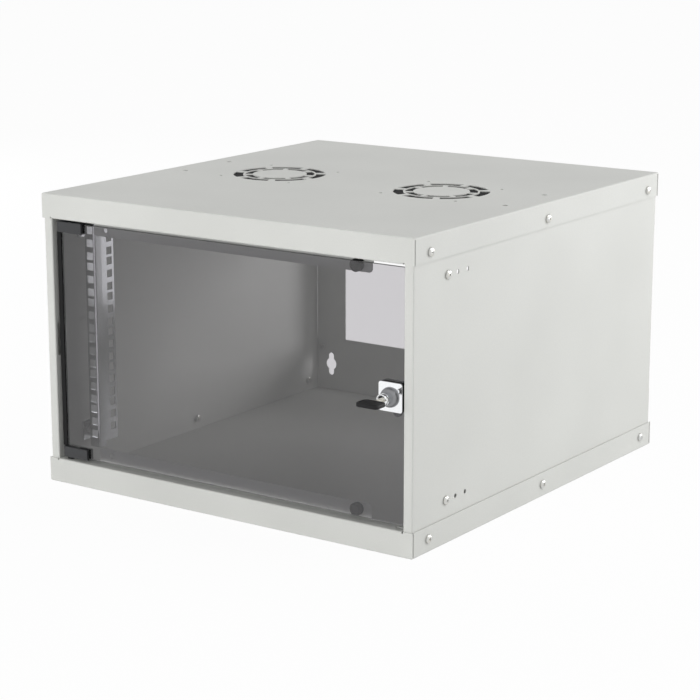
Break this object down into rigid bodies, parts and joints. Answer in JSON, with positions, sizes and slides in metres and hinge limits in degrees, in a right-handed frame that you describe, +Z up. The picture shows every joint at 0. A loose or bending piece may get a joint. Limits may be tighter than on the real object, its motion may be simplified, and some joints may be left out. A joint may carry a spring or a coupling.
{
  "type": "wall mount network cabinet",
  "caption": "Box-shaped light grey steel wall cabinet for 19-inch rack gear, with a tinted glass door on pin hinges, key lock, square-hole rails and fan knock-outs in the top.",
  "frame": {"origin": "centre of the bottom cover's underside, at half the cabinet's width and half its depth", "axes": "+Z up, the glass door faces -Y, the wall is at +Y, +X to the right of someone who faces the door"},
  "size_m": [0.536, 0.609, 0.357],
  "materials": {
    "cabinet_paint": "fine-texture powder coat, light grey",
    "rail_zinc": "zinc plate over rolled sheet, satin",
    "zinc_steel": "bright zinc plate",
    "tinted_glass": "grey-tinted tempered glass",
    "black_rubber": "matt",
    "hinge_grey": "satin dark grey",
    "pin_steel": "dark satin steel",
    "lock_chrome": "polished",
    "black_nylon": "satin moulded",
    "key_steel": "nickel plate, satin"
  },
  "bodies": {
    "root": {"top_cover": "cabinet_paint", "bottom_cover": "cabinet_paint", "left_side_panel": "cabinet_paint", "right_side_panel": "cabinet_paint", "back_panel": "cabinet_paint", "left_rack_rail": "rail_zinc", "right_rack_rail": "rail_zinc", "lower_right_rail_bracket": "rail_zinc", "lower_left_rail_bracket": "rail_zinc", "upper_right_rail_bracket": "rail_zinc", "upper_left_rail_bracket": "rail_zinc", "top_cover_screws": "zinc_steel", "bottom_cover_screws": "zinc_steel", "top_cover_nuts": "zinc_steel", "bottom_cover_nuts": "zinc_steel", "bracket_screws": "zinc_steel", "bracket_nuts": "zinc_steel", "rail_screws": "zinc_steel", "rail_nuts": "zinc_steel", "back_panel_screws": "zinc_steel", "back_panel_nuts": "zinc_steel", "top_door_bumper": "black_rubber", "bottom_door_bumper": "black_rubber", "top_hinge_pin": "pin_steel", "bottom_hinge_pin": "pin_steel", "top_hinge_bush": "black_nylon", "bottom_hinge_bush": "black_nylon"},
    "door": {"door_glass": "tinted_glass", "door_edge_trim": "black_rubber", "top_hinge_clamp": "hinge_grey", "bottom_hinge_clamp": "hinge_grey", "hinge_clamp_pads": "black_rubber", "hinge_clamp_screws": "pin_steel", "lock_face_plate": "lock_chrome", "lock_front_housing": "black_nylon", "lock_rear_housing": "black_nylon", "lock_barrel": "lock_chrome", "lock_ring_nut": "zinc_steel"},
    "lock_cylinder": {"lock_plug": "lock_chrome", "lock_cam": "pin_steel", "lock_cam_screw": "zinc_steel"},
    "key": {"key_blade": "key_steel", "key_head": "black_nylon"}
  },
  "joints": [
    {"name": "door_hinge", "type": "hinge", "parent": "root", "child": "door", "pos_m": [-0.239, -0.2725, 0.1785], "axis": [0, 0, -1], "range_deg": [0, 110]},
    {"name": "lock_turn", "type": "hinge", "parent": "door", "child": "lock_cylinder", "pos_m": [0.2327, -0.296, 0.1785], "axis": [0, -1, 0], "range_deg": [0, 90]},
    {"name": "key_slide", "type": "slide", "parent": "lock_cylinder", "child": "key", "axis": [0, -1, 0], "range_m": [0, 0.03]}
  ]
}
